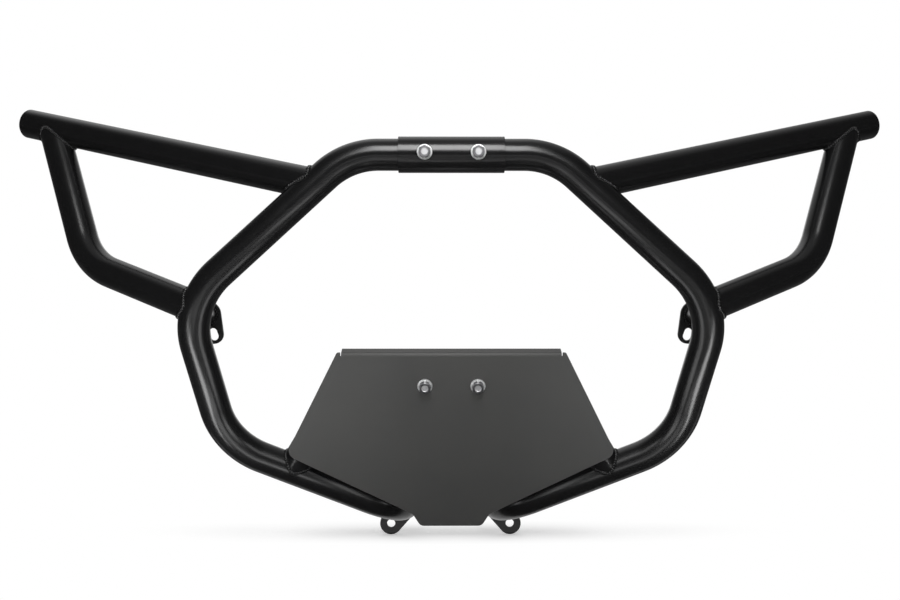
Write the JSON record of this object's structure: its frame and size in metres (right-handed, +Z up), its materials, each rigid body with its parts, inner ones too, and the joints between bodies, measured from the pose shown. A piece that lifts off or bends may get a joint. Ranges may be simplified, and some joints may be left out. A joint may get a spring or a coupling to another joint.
{
  "type": "atv front bumper",
  "caption": "Steel tube front bumper with swept wing rails, bolted coupling sleeves, a folded skid plate and flat mounting tabs.",
  "frame": {"origin": "under the middle of the bumper, at the height of its lowest point", "axes": "+X to the right for someone who faces the bumper, +Y to the rear, towards the vehicle, +Z up"},
  "size_m": [1.1444, 0.2232, 0.5796],
  "materials": {
    "black_powder_coat": "semi-gloss black powder coat",
    "dark_grey_plate_coat": "matte dark grey coat",
    "bright_zinc_plating": "bright zinc plating"
  },
  "bodies": {
    "root": {"left_hoop_tube": "black_powder_coat", "right_hoop_tube": "black_powder_coat", "top_coupling_sleeve": "black_powder_coat", "cross_coupling_sleeve": "black_powder_coat", "left_wing_rail": "black_powder_coat", "right_wing_rail": "black_powder_coat", "left_wing_brace": "black_powder_coat", "right_wing_brace": "black_powder_coat", "left_rail_end_cap": "black_powder_coat", "right_rail_end_cap": "black_powder_coat", "left_cross_tube": "black_powder_coat", "right_cross_tube": "black_powder_coat", "left_upper_standoff": "black_powder_coat", "right_upper_standoff": "black_powder_coat", "left_upper_mount_tab": "black_powder_coat", "right_upper_mount_tab": "black_powder_coat", "left_lower_mount_tab": "black_powder_coat", "right_lower_mount_tab": "black_powder_coat", "skid_plate": "dark_grey_plate_coat", "top_bolt_left": "bright_zinc_plating", "top_bolt_right": "bright_zinc_plating", "top_nut_left": "bright_zinc_plating", "top_nut_right": "bright_zinc_plating", "plate_bolt_left": "bright_zinc_plating", "plate_bolt_right": "bright_zinc_plating", "plate_nut_left": "bright_zinc_plating", "plate_nut_right": "bright_zinc_plating"}
  },
  "joints": []
}
